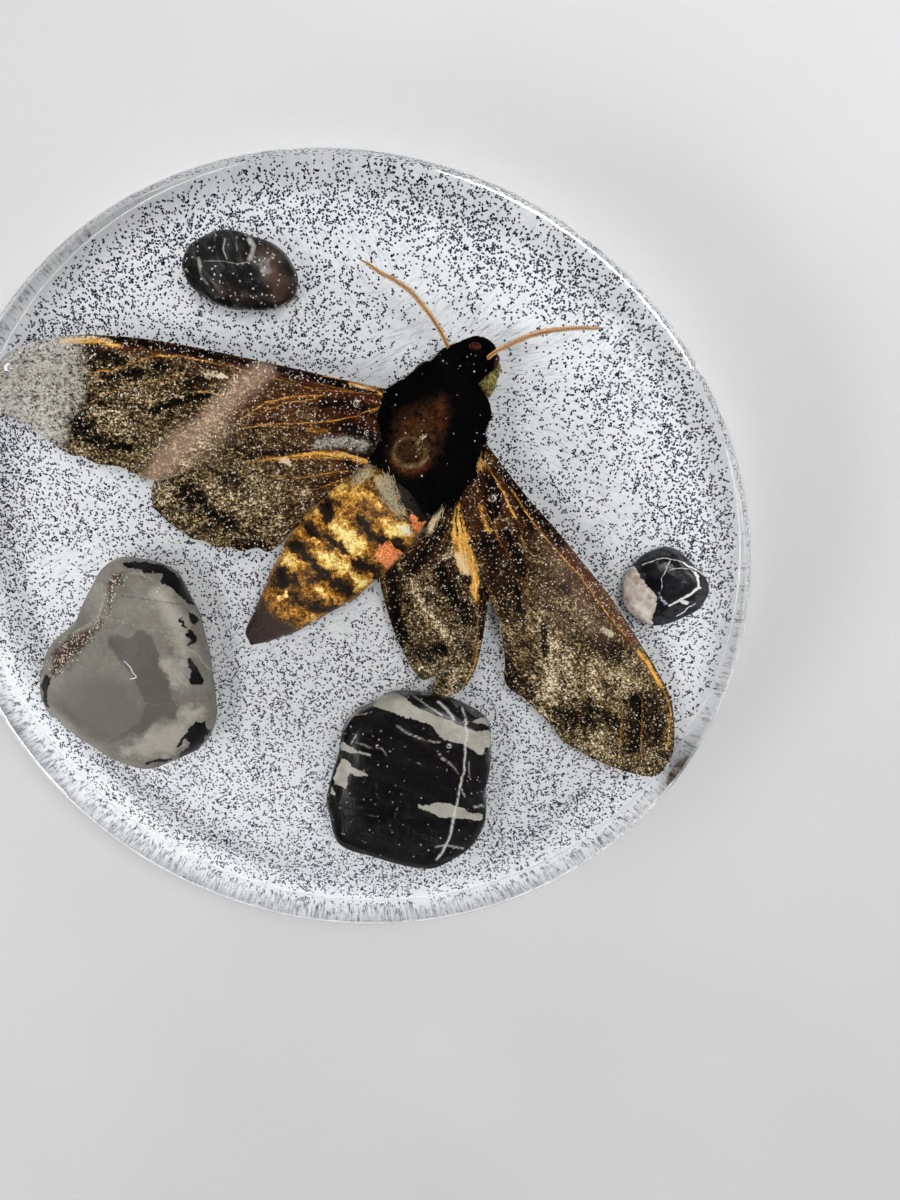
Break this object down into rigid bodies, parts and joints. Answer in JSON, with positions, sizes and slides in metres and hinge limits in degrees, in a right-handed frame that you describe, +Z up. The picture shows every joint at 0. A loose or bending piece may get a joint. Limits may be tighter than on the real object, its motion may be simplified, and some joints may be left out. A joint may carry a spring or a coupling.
{
  "type": "insect in resin block",
  "caption": "Round clear resin block on a silver glitter backing, with a spread moth and tumbled stones sealed inside.",
  "frame": {"origin": "centre of the underside, on the surface that the block rests on", "axes": "+Z up through the block's thickness, +X towards the right and +Y towards the top of the picture, so the moth's head points between +X and +Y"},
  "size_m": [0.11, 0.11, 0.014],
  "materials": {
    "clear_resin": "polished clear casting resin",
    "glitter_backing": "silver glitter in resin",
    "moth_wings": "brown and gold wing scales",
    "moth_body": "black and gold fur",
    "stones": "tumbled dark stone",
    "air_bubbles": "trapped air"
  },
  "bodies": {
    "root": {"clear_resin": "clear_resin", "glitter_backing": "glitter_backing"}
  },
  "joints": []
}
